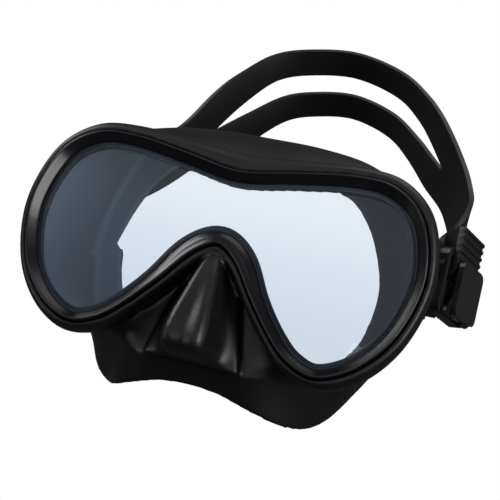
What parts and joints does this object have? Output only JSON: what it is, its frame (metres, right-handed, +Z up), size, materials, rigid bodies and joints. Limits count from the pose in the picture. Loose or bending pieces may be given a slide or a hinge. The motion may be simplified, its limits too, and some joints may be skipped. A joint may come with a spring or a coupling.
{
  "type": "snorkel mask",
  "caption": "Single-lens diving mask with a black silicone skirt, nose pocket, swivelling strap buckles and a split silicone strap raised over the top.",
  "frame": {"origin": "centre of the face seal's opening, at eye level on the wearer's middle line", "axes": "+Z up, the wearer looks along -Y, +X is the wearer's left"},
  "size_m": [0.1982, 0.1355, 0.196],
  "materials": {
    "skirt_silicone": "satin",
    "strap_silicone": "satin",
    "lens_glass": "clear polished, bevelled front edge",
    "ring_plastic": "satin gloss",
    "hoop_plastic": "matt",
    "buckle_plastic": "satin, polished edges",
    "steel": "drawn stainless"
  },
  "bodies": {
    "mask": {"skirt": "skirt_silicone", "lens": "lens_glass", "clamp_ring": "ring_plastic", "frame_hoop": "hoop_plastic", "anchor_boss_left": "buckle_plastic", "anchor_boss_right": "buckle_plastic", "swivel_pin_left": "steel", "swivel_pin_right": "steel"},
    "left_buckle": {"buckle_frame_left": "buckle_plastic", "roller_axle_left": "steel", "lever_pin_left": "steel", "lever_spring_left": "steel", "strap": "strap_silicone"},
    "left_roller": {"roller_left": "buckle_plastic"},
    "left_lever": {"release_lever_left": "buckle_plastic"},
    "right_buckle": {"buckle_frame_right": "buckle_plastic", "roller_axle_right": "steel", "lever_pin_right": "steel", "lever_spring_right": "steel"},
    "right_roller": {"roller_right": "buckle_plastic"},
    "right_lever": {"release_lever_right": "buckle_plastic"}
  },
  "joints": [
    {"name": "left_buckle_swivel", "type": "hinge", "parent": "mask", "child": "left_buckle", "pos_m": [0.087, -0.007, 0.0055], "axis": [1, 0, 0], "range_deg": [-110, 5]},
    {"name": "right_buckle_swivel", "type": "hinge", "parent": "mask", "child": "right_buckle", "pos_m": [-0.087, -0.007, 0.0055], "axis": [1, 0, 0], "range_deg": [-110, 5]},
    {"name": "left_roller_spin", "type": "hinge", "parent": "left_buckle", "child": "left_roller", "pos_m": [0.08754, -0.00725, 0.0195], "axis": [0.4226, 0.9063, 0], "continuous": true},
    {"name": "right_roller_spin", "type": "hinge", "parent": "right_buckle", "child": "right_roller", "pos_m": [-0.08754, -0.00725, 0.0195], "axis": [-0.4226, 0.9063, 0], "continuous": true},
    {"name": "left_lever_release", "type": "hinge", "parent": "left_buckle", "child": "left_lever", "pos_m": [0.09144, -0.00907, 0.0011], "axis": [0.4226, 0.9063, 0], "range_deg": [0, 18], "stiffness_Nm_per_rad": 0.05, "springref_deg": -20.05},
    {"name": "right_lever_release", "type": "hinge", "parent": "right_buckle", "child": "right_lever", "pos_m": [-0.09144, -0.00907, 0.0011], "axis": [0.4226, -0.9063, 0], "range_deg": [0, 18], "stiffness_Nm_per_rad": 0.05, "springref_deg": -20.05}
  ],
  "couplings": [
    {"joint": "right_buckle_swivel", "follows": "left_buckle_swivel", "ratio": 1}
  ]
}
